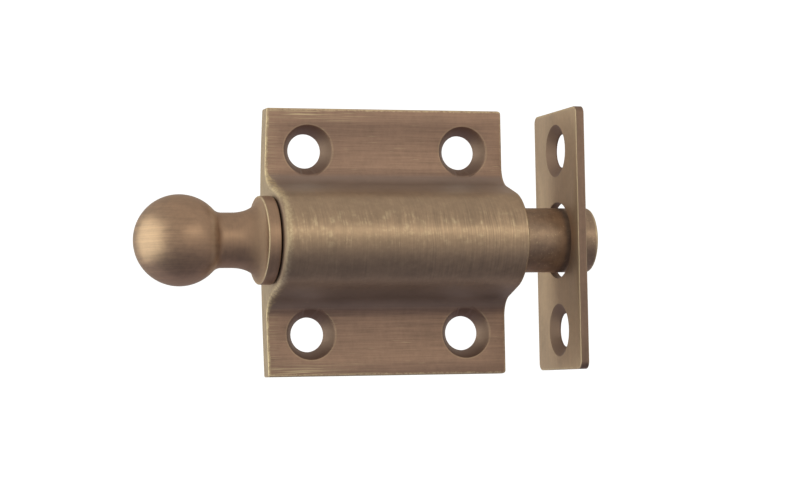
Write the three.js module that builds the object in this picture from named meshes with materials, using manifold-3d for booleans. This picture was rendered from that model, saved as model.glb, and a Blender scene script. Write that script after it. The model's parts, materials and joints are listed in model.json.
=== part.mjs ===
// Small brass spring bolt with a ball knob, for a cabinet or cupboard door.
//
// Frame: X runs along the bolt, with its tip towards +X and the knob towards -X. Z is up. The housing's flat
// back is the plane y = 0 and its front faces -Y. The origin is the middle of the housing's back.
// All sizes are in millimetres.

import * as THREE from 'three';
import { mergeVertices } from 'three/addons/utils/BufferGeometryUtils.js';
import Module from 'manifold-3d';

// ---------------------------------------------------------------- driving dimensions

// Clearances
const RUNNING_GAP = 0.3; // round a piece that slides or turns in another
const FACE_GAP = 0.3; // between two faces that rest on each other

// Housing: one brass section, two flanges and a round barrel, cut to length
const HOUSING_LENGTH = 32.3;
const HOUSING_HEIGHT = 35;
const FLANGE_THICKNESS = 2.4;
const FLANGE_EDGE_RADIUS = 0.35;
const BARREL_WALL = 1.94;
const BACK_WALL = 1.44; // behind the bore
const BARREL_SHOULDER_SLOPE = 17.7 * Math.PI / 180; // from square to the flanges
const BARREL_FILLET = 2.8;
const END_CROWN = 0.55; // how far the knob end bows out at mid height
const END_CORNER_RADIUS = 0.4;

// Housing screw holes, one in each corner
const SCREW_END_MARGIN = 5.5; // from the housing's square end to a hole's centre
const SCREW_EDGE_MARGIN = 5.47; // from its long edge
const SCREW_HOLE_RADIUS = 2.26;
const COUNTERSINK_RADIUS = 3.32;
const COUNTERSINK_LAND = 0.45; // plain hole left under the cone

// Bolt
const BOLT_RADIUS = 4.26;
const BOLT_PROTRUSION = 10.5; // past the housing, and so its travel
const BOLT_GUIDED_LENGTH = 10; // inside the housing at rest
const BOLT_TIP_CHAMFER = 0.3;
const STEM_SOCKET_DEPTH = 6;

// Spindle: the stem that joins the knob to the bolt
const SPINDLE_RADIUS = 1.9;
const SPINDLE_CHAMFER = 0.3;
const SPINDLE_GRIP_IN_KNOB = 8;

// Guide bush, pressed in the knob end of the bore
const BUSH_LENGTH = 4;
const BUSH_RECESS = 0.25; // behind the knob end's face

// Spring washer, between the spring and the bolt
const WASHER_THICKNESS = 0.8;

// Return spring, a compression spring midway between the spindle and the bore
const SPRING_WIRE_RADIUS = 0.35;
const SPRING_ACTIVE_TURNS = 6;
const SPRING_DEAD_TURNS = 1; // closed at each end
const SPRING_DEAD_GAP = 0.05;
const SPRING_STEPS_PER_TURN = 14;

// Knob: a ball on a waisted neck, with a collar that stops on the housing
const COLLAR_OVERLAP = 1.14; // past the bore, on the housing's end
const COLLAR_THICKNESS = 1.65;
const COLLAR_EDGE = 0.25;
const FLARE_LENGTH = 3.5;
const NECK_RADIUS = 3.55;
const NECK_LENGTH = 1.4;
const NECK_FILLET = 1.7; // between the neck and the ball
const BALL_RADIUS = 5.85;

// Strike plate, on the door frame, square to the bolt
const STRIKE_HEIGHT = 34.3;
const STRIKE_WIDTH = 15.25;
const STRIKE_THICKNESS = 1.15;
const STRIKE_CORNER_RADIUS = 1;
const STRIKE_STAND_OFF = 6.3; // from the housing's end to the strike plate
const STRIKE_BOLT_GAP = 0.74; // round the bolt
const STRIKE_SCREW_SPACING = 23.8;
const STRIKE_SCREW_RADIUS = 2.2;
const STRIKE_COUNTERSINK_RADIUS = 3.49;
const STRIKE_COUNTERSINK_LAND = 0.2;

// Smoothness
const TURNED_SIDES = 48;
const HOLE_SIDES = 32;
const WIRE_SIDES = 8;
const BOW_STEPS = 20;
const FLARE_STEPS = 8;
const ARC_STEP = Math.PI / 28;
const CUT_OVER = 1; // how far a cutting tool runs past what it cuts

// ---------------------------------------------------------------- places worked out from them

const BOLT_END_X = HOUSING_LENGTH / 2;
const KNOB_END_X = -HOUSING_LENGTH / 2 - END_CROWN;
const BORE_RADIUS = BOLT_RADIUS + RUNNING_GAP;
const SPINDLE_BORE_RADIUS = SPINDLE_RADIUS + RUNNING_GAP;
const BARREL_RADIUS = BORE_RADIUS + BARREL_WALL;
const AXIS_DEPTH = BORE_RADIUS + BACK_WALL; // from the back face to the bolt's axis
const WASHER_RADIUS = BORE_RADIUS - 2 * RUNNING_GAP;
const SPRING_MEAN_RADIUS = (SPINDLE_RADIUS + BORE_RADIUS) / 2;
const SPRING_TURNS = SPRING_ACTIVE_TURNS + 2 * SPRING_DEAD_TURNS;
const COLLAR_RADIUS = BORE_RADIUS + COLLAR_OVERLAP;

const BOLT_TIP_X = BOLT_END_X + BOLT_PROTRUSION;
const BOLT_TAIL_X = BOLT_END_X - BOLT_GUIDED_LENGTH;
const WASHER_X = BOLT_TAIL_X - FACE_GAP - WASHER_THICKNESS;
const BUSH_X = KNOB_END_X + BUSH_RECESS;
const SPRING_START_X = BUSH_X + BUSH_LENGTH + FACE_GAP;
const SPRING_END_X = WASHER_X - FACE_GAP;
const COLLAR_FACE_X = KNOB_END_X - FACE_GAP;
const STRIKE_X = BOLT_END_X + STRIKE_STAND_OFF;

// ---------------------------------------------------------------- finishes

const agedBrass = { color: 0x8c735a, roughness: 0.42, metalness: 1 };
const ballBrass = { color: 0x9c8466, roughness: 0.32, metalness: 1 };
const boltBrass = { color: 0x6f5c44, roughness: 0.5, metalness: 1 };
const strikeBrass = { color: 0x988a6c, roughness: 0.4, metalness: 1 };
const plainBrass = { color: 0xa88a55, roughness: 0.35, metalness: 1 };
const springSteel = { color: 0x9a9a98, roughness: 0.3, metalness: 1 };

// ---------------------------------------------------------------- shape helpers

// A geometry as a solid, with the vertices that its faces share merged.
function solidOf(geometry) {
  const bare = geometry.clone();
  bare.deleteAttribute('normal');
  bare.deleteAttribute('uv');
  const merged = mergeVertices(bare, 1e-5);
  return new wasm.Manifold(new wasm.Mesh({
    numProp: 3,
    vertProperties: new Float32Array(merged.attributes.position.array),
    triVerts: new Uint32Array(merged.index.array),
  }));
}

function geometryOf(solid) {
  const mesh = solid.getMesh();
  const geometry = new THREE.BufferGeometry();
  geometry.setAttribute('position', new THREE.BufferAttribute(mesh.vertProperties, 3));
  geometry.setIndex(new THREE.BufferAttribute(mesh.triVerts, 1));
  geometry.computeVertexNormals();
  return geometry;
}

function cutAway(geometry, tools) {
  return geometryOf(tools.reduce((solid, tool) => solid.subtract(solidOf(tool)), solidOf(geometry)));
}

function pointsOf(pairs) {
  return pairs.map(([x, y]) => new THREE.Vector2(x, y));
}

// A turned piece on the bolt's axis. The section's points are (radius, x), in order from the -X side round
// the outside to the +X side.
function turned(section, sides = TURNED_SIDES) {
  const geometry = new THREE.LatheGeometry(section, sides);
  geometry.rotateZ(-Math.PI / 2);
  return geometry.translate(0, -AXIS_DEPTH, 0);
}

// A tube from x0 to x1 on the bolt's axis.
function turnedRing(x0, x1, innerRadius, outerRadius) {
  const section = [
    [innerRadius, x0],
    [outerRadius, x0],
    [outerRadius, x1],
    [innerRadius, x1],
    [innerRadius, x0],
  ];
  return turned(pointsOf(section), HOLE_SIDES);
}

// A rod from x0 to x1 on the bolt's axis, with the same chamfer at both ends.
function turnedRod(x0, x1, radius, chamfer, sides = TURNED_SIDES) {
  const section = [
    [0, x0],
    [radius - chamfer, x0],
    [radius, x0 + chamfer],
    [radius, x1 - chamfer],
    [radius - chamfer, x1],
    [0, x1],
  ];
  return turned(pointsOf(section), sides);
}

// The tool that cuts a plain hole through a piece that lies between x0 and x1, on the bolt's axis.
function turnedHoleTool(x0, x1, radius) {
  const section = [
    [0, x0 - CUT_OVER],
    [radius, x0 - CUT_OVER],
    [radius, x1 + CUT_OVER],
    [0, x1 + CUT_OVER],
  ];
  return turned(pointsOf(section));
}

// The tool that cuts a countersunk screw hole down the -Y axis of its own frame: a plain hole and a cone that
// opens to countersinkRadius at y = 0 and goes on opening in front of it.
function countersinkTool(holeRadius, countersinkRadius, land, thickness) {
  const coneDepth = thickness - land;
  const slope = (countersinkRadius - holeRadius) / coneDepth;
  const section = [
    [0, -thickness - CUT_OVER],
    [holeRadius, -thickness - CUT_OVER],
    [holeRadius, -coneDepth],
    [countersinkRadius + slope * CUT_OVER, CUT_OVER],
    [0, CUT_OVER],
  ];
  return new THREE.LatheGeometry(pointsOf(section), HOLE_SIDES);
}

// An outline in the YZ plane, extruded along X from x0.
function alongX(outline, x0, length) {
  const settings = { depth: length, bevelEnabled: false };
  const geometry = new THREE.ExtrudeGeometry(new THREE.Shape(outline), settings);
  const turn = new THREE.Matrix4().set(0, 0, 1, x0, 1, 0, 0, 0, 0, 1, 0, 0, 0, 0, 0, 1);
  return geometry.applyMatrix4(turn);
}

// Points on a circle's arc, both ends included, in the plane of a section.
function arc(centreX, centreY, radius, startAngle, endAngle) {
  const steps = Math.max(2, Math.ceil(Math.abs(endAngle - startAngle) / ARC_STEP));
  const points = [];
  for (let i = 0; i <= steps; i += 1) {
    const angle = startAngle + (endAngle - startAngle) * i / steps;
    points.push(new THREE.Vector2(centreX + radius * Math.cos(angle), centreY + radius * Math.sin(angle)));
  }
  return points;
}

// A rectangle with round corners, centred on (centreX, 0).
function roundedRectangle(centreX, width, height, radius) {
  const right = centreX + width / 2 - radius;
  const left = centreX - width / 2 + radius;
  const top = height / 2 - radius;
  return [
    ...arc(right, top, radius, 0, Math.PI / 2),
    ...arc(left, top, radius, Math.PI / 2, Math.PI),
    ...arc(left, -top, radius, Math.PI, 1.5 * Math.PI),
    ...arc(right, -top, radius, 1.5 * Math.PI, 2 * Math.PI),
  ];
}

function subpart(name, geometry, finish) {
  const material = new THREE.MeshStandardMaterial(finish);
  material.name = name;
  const mesh = new THREE.Mesh(geometry, material);
  mesh.name = name;
  return mesh;
}

// ---------------------------------------------------------------- housing

// The upper half of the section, in (y, z), from the barrel's front to the top of the back face. A flat
// shoulder that touches both circles joins the barrel to the fillet.
function housingHalfSection() {
  const slope = BARREL_SHOULDER_SLOPE;
  const filletY = -FLANGE_THICKNESS - BARREL_FILLET;
  const reach = BARREL_RADIUS + BARREL_FILLET + (AXIS_DEPTH + filletY) * Math.sin(slope);
  const filletZ = reach / Math.cos(slope);
  const edgeY = -FLANGE_THICKNESS + FLANGE_EDGE_RADIUS;
  const edgeZ = HOUSING_HEIGHT / 2 - FLANGE_EDGE_RADIUS;
  return [
    ...arc(-AXIS_DEPTH, 0, BARREL_RADIUS, Math.PI, Math.PI / 2 + slope),
    ...arc(filletY, filletZ, BARREL_FILLET, 1.5 * Math.PI + slope, 2 * Math.PI),
    ...arc(edgeY, edgeZ, FLANGE_EDGE_RADIUS, Math.PI, Math.PI / 2),
    new THREE.Vector2(0, HOUSING_HEIGHT / 2),
  ];
}

// The section as a bar that runs past both ends of the housing.
function housingBar() {
  const upper = housingHalfSection();
  const lower = upper.slice(1).reverse().map((point) => new THREE.Vector2(point.x, -point.y));
  const start = KNOB_END_X - CUT_OVER;
  return alongX([...lower, ...upper], start, BOLT_END_X + CUT_OVER - start);
}

// The block that the bar is cut to, by its outline from the front: square at the bolt's end and bowed at the
// knob's end.
function housingBlock() {
  const halfHeight = HOUSING_HEIGHT / 2;
  const bowRadius = (halfHeight ** 2 + END_CROWN ** 2) / (2 * END_CROWN);
  const halfAngle = Math.asin(halfHeight / bowRadius);
  const bow = [];
  for (let i = 0; i <= BOW_STEPS; i += 1) {
    const angle = Math.PI - halfAngle + 2 * halfAngle * i / BOW_STEPS;
    bow.push(new THREE.Vector2(
      KNOB_END_X + bowRadius + bowRadius * Math.cos(angle),
      bowRadius * Math.sin(angle),
    ));
  }
  const cornerX = BOLT_END_X - END_CORNER_RADIUS;
  const cornerZ = halfHeight - END_CORNER_RADIUS;
  const outline = new THREE.Shape([
    ...arc(cornerX, -cornerZ, END_CORNER_RADIUS, -Math.PI / 2, 0),
    ...arc(cornerX, cornerZ, END_CORNER_RADIUS, 0, Math.PI / 2),
    ...bow,
  ]);
  const depth = AXIS_DEPTH + BARREL_RADIUS + 2 * CUT_OVER;
  const block = new THREE.ExtrudeGeometry(outline, { depth, bevelEnabled: false });
  return block.rotateX(Math.PI / 2).translate(0, CUT_OVER, 0);
}

function housingScrewTools() {
  const reachX = HOUSING_LENGTH / 2 - SCREW_END_MARGIN;
  const reachZ = HOUSING_HEIGHT / 2 - SCREW_EDGE_MARGIN;
  const places = [[-reachX, -reachZ], [-reachX, reachZ], [reachX, -reachZ], [reachX, reachZ]];
  return places.map(([x, z]) => {
    const tool = countersinkTool(SCREW_HOLE_RADIUS, COUNTERSINK_RADIUS, COUNTERSINK_LAND, FLANGE_THICKNESS);
    // its open side faces the front
    return tool.rotateX(Math.PI).translate(x, -FLANGE_THICKNESS, z);
  });
}

function housing() {
  const bar = geometryOf(solidOf(housingBar()).intersect(solidOf(housingBlock())));
  const bore = turnedHoleTool(KNOB_END_X, BOLT_END_X, BORE_RADIUS);
  return subpart('housing', cutAway(bar, [bore, ...housingScrewTools()]), agedBrass);
}

// ---------------------------------------------------------------- moving pieces

function bolt() {
  const socketRadius = SPINDLE_BORE_RADIUS;
  const socketEnd = BOLT_TAIL_X + STEM_SOCKET_DEPTH;
  const section = [
    [0, socketEnd],
    [socketRadius, socketEnd],
    [socketRadius, BOLT_TAIL_X],
    [BOLT_RADIUS, BOLT_TAIL_X],
    [BOLT_RADIUS, BOLT_TIP_X - BOLT_TIP_CHAMFER],
    [BOLT_RADIUS - BOLT_TIP_CHAMFER, BOLT_TIP_X],
    [0, BOLT_TIP_X],
  ];
  return subpart('bolt', turned(pointsOf(section)), boltBrass);
}

function spindle() {
  const start = COLLAR_FACE_X - SPINDLE_GRIP_IN_KNOB;
  const end = BOLT_TAIL_X + STEM_SOCKET_DEPTH - FACE_GAP;
  return subpart('spindle', turnedRod(start, end, SPINDLE_RADIUS, SPINDLE_CHAMFER, HOLE_SIDES), plainBrass);
}

// The knob's outline, as (radius, distance from the collar's bearing face towards the ball's end).
function knobOutline() {
  const lipRadius = COLLAR_RADIUS - COLLAR_EDGE;
  const neckStart = COLLAR_THICKNESS + FLARE_LENGTH;
  const neckEnd = neckStart + NECK_LENGTH;
  const flare = [];
  for (let i = 0; i < FLARE_STEPS; i += 1) {
    const angle = Math.PI / 2 * i / FLARE_STEPS;
    flare.push(new THREE.Vector2(
      lipRadius - (lipRadius - NECK_RADIUS) * Math.sin(angle),
      neckStart - FLARE_LENGTH * Math.cos(angle),
    ));
  }
  const filletRadius = NECK_RADIUS + NECK_FILLET;
  const ballCentre = neckEnd + Math.sqrt((BALL_RADIUS + NECK_FILLET) ** 2 - filletRadius ** 2);
  const towardsFillet = Math.atan2(neckEnd - ballCentre, filletRadius);
  const fillet = arc(filletRadius, neckEnd, NECK_FILLET, Math.PI, towardsFillet + Math.PI);
  const ball = arc(0, ballCentre, BALL_RADIUS, towardsFillet, Math.PI / 2).slice(1, -1);
  return [
    new THREE.Vector2(lipRadius, 0),
    new THREE.Vector2(COLLAR_RADIUS, COLLAR_EDGE),
    new THREE.Vector2(COLLAR_RADIUS, COLLAR_THICKNESS - COLLAR_EDGE),
    ...flare,
    new THREE.Vector2(NECK_RADIUS, neckStart),
    ...fillet,
    ...ball,
    new THREE.Vector2(0, ballCentre + BALL_RADIUS),
  ];
}

function knob() {
  const holeDepth = SPINDLE_GRIP_IN_KNOB + FACE_GAP;
  const section = [
    new THREE.Vector2(0, holeDepth),
    new THREE.Vector2(SPINDLE_BORE_RADIUS, holeDepth),
    new THREE.Vector2(SPINDLE_BORE_RADIUS, 0),
    ...knobOutline(),
  ];
  const placed = section.map((point) => new THREE.Vector2(point.x, COLLAR_FACE_X - point.y));
  return subpart('knob', turned(placed.reverse()), ballBrass);
}

// ---------------------------------------------------------------- inner pieces

function guideBush() {
  const outerRadius = BORE_RADIUS - RUNNING_GAP;
  const ring = turnedRing(BUSH_X, BUSH_X + BUSH_LENGTH, SPINDLE_BORE_RADIUS, outerRadius);
  return subpart('guide_bush', ring, plainBrass);
}

function springWasher() {
  const ring = turnedRing(WASHER_X, WASHER_X + WASHER_THICKNESS, SPINDLE_BORE_RADIUS, WASHER_RADIUS);
  return subpart('spring_washer', ring, springSteel);
}

// The wire's middle line: dead turns that nearly touch at each end, with open turns between.
class SpringLine extends THREE.Curve {
  getPoint(t, target = new THREE.Vector3()) {
    const turn = t * SPRING_TURNS;
    const start = SPRING_START_X + SPRING_WIRE_RADIUS;
    const end = SPRING_END_X - SPRING_WIRE_RADIUS;
    const deadPitch = 2 * SPRING_WIRE_RADIUS + SPRING_DEAD_GAP;
    const openPitch = (end - start - 2 * SPRING_DEAD_TURNS * deadPitch) / SPRING_ACTIVE_TURNS;
    const openTurns = Math.min(Math.max(turn - SPRING_DEAD_TURNS, 0), SPRING_ACTIVE_TURNS);
    const angle = 2 * Math.PI * turn;
    return target.set(
      start + (turn - openTurns) * deadPitch + openTurns * openPitch,
      -AXIS_DEPTH + SPRING_MEAN_RADIUS * Math.cos(angle),
      SPRING_MEAN_RADIUS * Math.sin(angle),
    );
  }
}

function returnSpring() {
  const wire = new THREE.Shape();
  wire.absarc(0, 0, SPRING_WIRE_RADIUS, 0, 2 * Math.PI);
  const coil = new THREE.ExtrudeGeometry(wire, {
    steps: SPRING_TURNS * SPRING_STEPS_PER_TURN,
    curveSegments: WIRE_SIDES / 2,
    extrudePath: new SpringLine(),
  });
  return subpart('return_spring', coil, springSteel);
}

// ---------------------------------------------------------------- strike plate

function strikePlate() {
  const outline = roundedRectangle(-AXIS_DEPTH, STRIKE_WIDTH, STRIKE_HEIGHT, STRIKE_CORNER_RADIUS);
  const plate = alongX(outline, STRIKE_X, STRIKE_THICKNESS);
  const holeRadius = BOLT_RADIUS + STRIKE_BOLT_GAP;
  const boltHole = turnedHoleTool(STRIKE_X, STRIKE_X + STRIKE_THICKNESS, holeRadius);
  const screwHoles = [-STRIKE_SCREW_SPACING / 2, STRIKE_SCREW_SPACING / 2].map((z) => {
    const tool = countersinkTool(
      STRIKE_SCREW_RADIUS,
      STRIKE_COUNTERSINK_RADIUS,
      STRIKE_COUNTERSINK_LAND,
      STRIKE_THICKNESS,
    );
    // its open side faces the housing
    return tool.rotateZ(Math.PI / 2).translate(STRIKE_X, -AXIS_DEPTH, z);
  });
  return subpart('strike_plate', cutAway(plate, [boltHole, ...screwHoles]), strikeBrass);
}

// ---------------------------------------------------------------- assembly

const wasm = await Module();
wasm.setup();

const latch = new THREE.Group();
latch.name = 'spring_bolt_latch';

const fixedPieces = new THREE.Group();
fixedPieces.add(housing(), guideBush(), returnSpring());

const slidingPieces = new THREE.Group();
slidingPieces.add(springWasher(), bolt(), spindle(), knob());

latch.add(fixedPieces, slidingPieces, strikePlate());

export default latch;
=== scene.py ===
"""The looks of a small brass spring bolt.

A ball knob draws a round bolt back through a barrel housing, and a separate strike plate takes its tip.
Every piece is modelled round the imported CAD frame, in metres, with X along the bolt.
"""

import json
import math

import bmesh
import bpy
from bpy.props import FloatProperty, FloatVectorProperty, IntProperty, PointerProperty
from mathutils import Matrix, Vector


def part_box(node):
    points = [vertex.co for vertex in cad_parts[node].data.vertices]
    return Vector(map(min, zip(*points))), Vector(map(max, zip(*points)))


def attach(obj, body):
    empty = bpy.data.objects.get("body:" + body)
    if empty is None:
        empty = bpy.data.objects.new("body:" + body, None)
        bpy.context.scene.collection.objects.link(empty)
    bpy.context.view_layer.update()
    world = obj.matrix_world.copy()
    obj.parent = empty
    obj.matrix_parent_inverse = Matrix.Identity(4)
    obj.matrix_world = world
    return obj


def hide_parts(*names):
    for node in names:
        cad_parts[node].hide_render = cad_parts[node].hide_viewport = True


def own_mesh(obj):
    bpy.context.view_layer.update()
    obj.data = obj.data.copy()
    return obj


bl_info = {
    "name": "Spring Bolt Latch",
    "version": (1, 0, 0),
    "blender": (4, 5, 0),
    "location": "View3D > Sidebar > Latch",
    "description": "Builds a small antiqued brass spring bolt with its strike plate",
    "category": "Add Mesh",
}

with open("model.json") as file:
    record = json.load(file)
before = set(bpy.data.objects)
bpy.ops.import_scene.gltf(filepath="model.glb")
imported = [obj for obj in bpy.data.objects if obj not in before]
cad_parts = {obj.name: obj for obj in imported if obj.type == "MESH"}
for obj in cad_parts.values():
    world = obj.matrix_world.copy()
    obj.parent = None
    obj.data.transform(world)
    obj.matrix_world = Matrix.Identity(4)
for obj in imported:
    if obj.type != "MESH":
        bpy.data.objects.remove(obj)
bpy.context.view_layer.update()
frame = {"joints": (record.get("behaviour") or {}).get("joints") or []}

MM = 0.001
FULL_TURN = 2 * math.pi
QUARTER = math.pi / 2

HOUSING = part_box("housing")
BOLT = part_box("bolt")
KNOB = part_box("knob")
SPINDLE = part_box("spindle")
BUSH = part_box("guide_bush")
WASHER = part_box("spring_washer")
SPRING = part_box("return_spring")
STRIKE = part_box("strike_plate")
AXIS = (BOLT[0] + BOLT[1]) / 2
BORE_SIDES = 96

SMOOTH_BELOW = math.radians(32)  # faces that meet at less are shaded as one surface
SHARP_ABOVE = math.radians(38)  # edges that meet at more are rounded
OVERCUT = 1 * MM  # how far a cutting tool runs past what it cuts
SOCKET_GAP = 0.3 * MM  # past each end of the spindle in its socket
HOLE_ROUNDING = 0.09 * MM  # on the rims of the housing's holes
BUSH_ROUNDING = 0.2 * MM
WASHER_ROUNDING = 0.12 * MM
SPINDLE_CHAMFER = 0.3 * MM
BACK_WEAR = 0.3  # of the widest rounding, on the edges of the back


# ------------------------------------------------------------------ settings


def size(name, description, default):
    return FloatProperty(
        name=name,
        description=description,
        default=default,
        min=0,
        precision=5,
        subtype="DISTANCE",
        unit="LENGTH",
    )


def turn(name, description, degrees):
    return FloatProperty(
        name=name,
        description=description,
        default=math.radians(degrees),
        subtype="ANGLE",
        unit="ROTATION",
    )


def colour(name, description, default):
    return FloatVectorProperty(
        name=name,
        description=description,
        default=default,
        size=3,
        min=0,
        max=1,
        subtype="COLOR",
    )


def share(name, description, default, most=1):
    return FloatProperty(
        name=name, description=description, default=default, min=0, max=most, subtype="FACTOR"
    )


class HousingSettings(bpy.types.PropertyGroup):
    """Sizes of the housing that its box doesn't give"""

    flange: size("Flange thickness", "Thickness of the screw flanges", 2.4 * MM)
    barrel: size("Barrel radius", "Outer radius of the round barrel", 6.5 * MM)
    slope: turn("Shoulder slope", "How far the barrel's flat shoulders lean from square to the flanges", 17.7)
    fillet: size("Fillet radius", "Concave radius between the shoulders and the flanges", 2.8 * MM)
    crown: size("End crown", "How far the knob end bows out at mid height", 0.55 * MM)
    crown_below: size("Lower end crown", "How far it bows out from its lower corner", 0.25 * MM)
    corner: size("Corner radius", "Radius of the plate's corners at the bolt end", 0.5 * MM)
    bore: size("Bore radius", "Radius of the bore that the bolt runs in", 4.56 * MM)
    edge: size("Edge rounding", "Worn rounding along the flanges", 0.18 * MM)
    rim: size("Rim rounding", "Worn rounding of the barrel's knob end", 0.72 * MM)
    hole_end: size("Hole end margin", "From the plate's end to a screw hole's centre", 5.5 * MM)
    hole_edge: size("Hole edge margin", "From the plate's long edge to a screw hole's centre", 5.47 * MM)
    hole: size("Screw hole radius", "Radius of the plain part of a screw hole", 2.26 * MM)
    sink: size("Countersink radius", "Radius of a countersink at the flange's face", 3.32 * MM)
    land: size("Countersink land", "Plain hole left under the cone", 0.45 * MM)


class KnobSettings(bpy.types.PropertyGroup):
    """Sizes of the knob and of what turns with it"""

    collar: size("Collar thickness", "Length of the collar along the knob", 1.65 * MM)
    closer: size("Collar's rest", "How far the collar sits nearer the housing than its seat", 0.12 * MM)
    collar_radius: size("Collar radius", "Outer radius of the collar", 5.7 * MM)
    collar_edge: size("Collar edge", "Rounding of the collar's rims", 0.16 * MM)
    flare: size("Flare length", "Length of the concave flare behind the collar", 3.5 * MM)
    neck_radius: size("Neck radius", "Radius of the neck", 3.55 * MM)
    neck: size("Neck length", "Length of the plain neck", 1.4 * MM)
    fillet: size("Neck fillet", "Radius between the neck and the ball", 1.7 * MM)
    ball: size("Ball radius", "Radius of the ball", 5.85 * MM)
    socket: size("Socket radius", "Radius of the sockets that hold the spindle", 2.2 * MM)
    thread: size("Thread depth", "Depth of the spindle's thread", 0.22 * MM)
    pitch: size("Thread pitch", "Pitch of the spindle's thread", 0.7 * MM)
    tip_edge: size("Tip rounding", "Rounding of the bolt's tip", 0.3 * MM)
    wire: size("Spring wire radius", "Radius of the return spring's wire", 0.35 * MM)
    turns: IntProperty(name="Spring turns", description="Open turns of the return spring", default=6, min=2)


class StrikeSettings(bpy.types.PropertyGroup):
    """Sizes of the strike plate that its box doesn't give"""

    corner: size("Corner radius", "Radius of the plate's corners", 1.0 * MM)
    bolt_hole: size("Bolt hole radius", "Radius of the middle hole", 5.0 * MM)
    spacing: size("Screw spacing", "Between the centres of the two screw holes", 23.8 * MM)
    hole: size("Screw hole radius", "Radius of the plain part of a screw hole", 2.2 * MM)
    sink: size("Countersink radius", "Radius of a countersink at the plate's face", 3.49 * MM)
    land: size("Countersink land", "Plain hole left under the cone", 0.2 * MM)
    edge: size("Edge rounding", "Worn rounding of the plate's edges", 0.14 * MM)


class FinishSettings(bpy.types.PropertyGroup):
    """Colours and strengths of the finishes"""

    patina: colour("Patina", "Antiqued brown of the flanges", (0.345, 0.21, 0.135))
    barrel: colour("Barrel", "Lighter antiqued brown of the barrel", (0.405, 0.268, 0.157))
    worn: colour("Worn edge", "Pale gold where the patina has rubbed through", (0.68, 0.52, 0.30))
    cut: colour("Cut end", "Olive brass on the sawn and filed ends", (0.405, 0.285, 0.175))
    shade: colour("Recess", "Dark brown that stays in countersinks", (0.235, 0.138, 0.09))
    dull: colour("Fillet", "Greyer brown beside the barrel that isn't brushed", (0.36, 0.255, 0.195))
    ball: colour("Knob", "Antiqued brass of the turned knob", (0.39, 0.237, 0.138))
    bolt: colour("Bolt", "Darker brass of the bolt", (0.36, 0.235, 0.145))
    strike: colour("Strike plate", "Olive brass of the strike plate", (0.42, 0.277, 0.168))
    plain: colour("Inner brass", "Plain turned brass of the inner pieces", (0.72, 0.53, 0.26))
    steel: colour("Spring steel", "Drawn spring wire", (0.56, 0.55, 0.53))
    edge_tint: colour("Edge tint", "Colour of the metal's reflections at a slant", (0.74, 0.66, 0.58))
    brushing: share("Brushing", "How strongly the brushing shows in colour", 0.30)
    relief: share("Relief", "How deep the brushing is in the surface", 0.25)


class StageSettings(bpy.types.PropertyGroup):
    """Camera, floor and lights"""

    azimuth: turn("Azimuth", "Camera's turn round the latch from straight in front", -17.72)
    elevation: turn("Elevation", "Camera's height angle", -3.2)
    roll: turn("Roll", "Camera's roll", -1.07)
    distance: size("Distance", "From the camera to the point it looks at", 343.9 * MM)
    focal: FloatProperty(
        name="Focal length", description="Camera lens, in mm on a 36 mm frame", default=118.48
    )
    aim: FloatVectorProperty(
        name="Aim",
        description="Point that the camera looks at",
        default=(1.6 * MM, -0.5 * MM, -0.55 * MM),
        subtype="TRANSLATION",
        unit="LENGTH",
    )
    floor_drop: size("Floor drop", "From the latch's lowest edge down to the floor", 22 * MM)
    sweep: size("Sweep radius", "Radius of the round floor and its turned-up rim", 2.4)
    left: share("Left light", "Radiance of the big soft light on the left", 1.68, 10)
    strip: share("Strip light", "Radiance of the long low light in front", 1.6, 10)
    above: share("Above", "Brightness of the surroundings overhead", 0.66, 4)
    front: share("Front", "Brightness of the surroundings behind the camera", 0.66, 4)
    below: share("Below", "Brightness of the surroundings underneath", 0.24, 4)
    behind: share("Behind", "Brightness of the surroundings behind the latch", 0.62, 4)
    cool: colour("Cool light", "Colour of the big soft light", (0.84, 1.0, 0.97))
    shadow: colour("Low light", "Colour of the surroundings underneath", (0.80, 0.80, 1.0))


def settings(group):
    """The scene's housing, knob, strike, finish or stage settings."""
    return getattr(bpy.context.scene, "latch_" + group)


# ------------------------------------------------------------------ outlines and meshes


def arc(centre, radius, start, end, steps):
    """Points on a circle's arc in a plane, both ends included."""
    angles = [start + (end - start) * i / steps for i in range(steps + 1)]
    return [(centre[0] + radius * math.cos(a), centre[1] + radius * math.sin(a)) for a in angles]


def spun(points, centre, axis, sides, closed=False):
    """A line or loop of points, spun a full turn round an axis."""
    bm = bmesh.new()
    verts = [bm.verts.new(point) for point in points]
    edges = [bm.edges.new(pair) for pair in zip(verts, verts[1:])]
    if closed:
        edges.append(bm.edges.new((verts[-1], verts[0])))
    bmesh.ops.spin(
        bm, geom=verts + edges, cent=centre, axis=axis, angle=FULL_TURN, steps=sides, use_merge=True
    )
    return bm


def turned(section, sides=BORE_SIDES):
    """A section of (x, radius) points, turned round the bolt's axis. One that starts off it is a ring's."""
    points = [(x, AXIS.y, AXIS.z + radius) for x, radius in section]
    bm = spun(points, (0, AXIS.y, AXIS.z), (1, 0, 0), sides, closed=section[0][1] > 0)
    bmesh.ops.remove_doubles(bm, verts=bm.verts, dist=0.0001 * MM)
    bmesh.ops.recalc_face_normals(bm, faces=bm.faces)
    return bm


def extruded(outline, along):
    """An outline of points in space, extruded by a vector into a closed solid."""
    bm = bmesh.new()
    face = bm.faces.new([bm.verts.new(point) for point in outline])
    made = bmesh.ops.extrude_face_region(bm, geom=[face])["geom"]
    bmesh.ops.translate(bm, verts=[v for v in made if isinstance(v, bmesh.types.BMVert)], vec=along)
    bmesh.ops.recalc_face_normals(bm, faces=bm.faces)
    return bm


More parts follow.
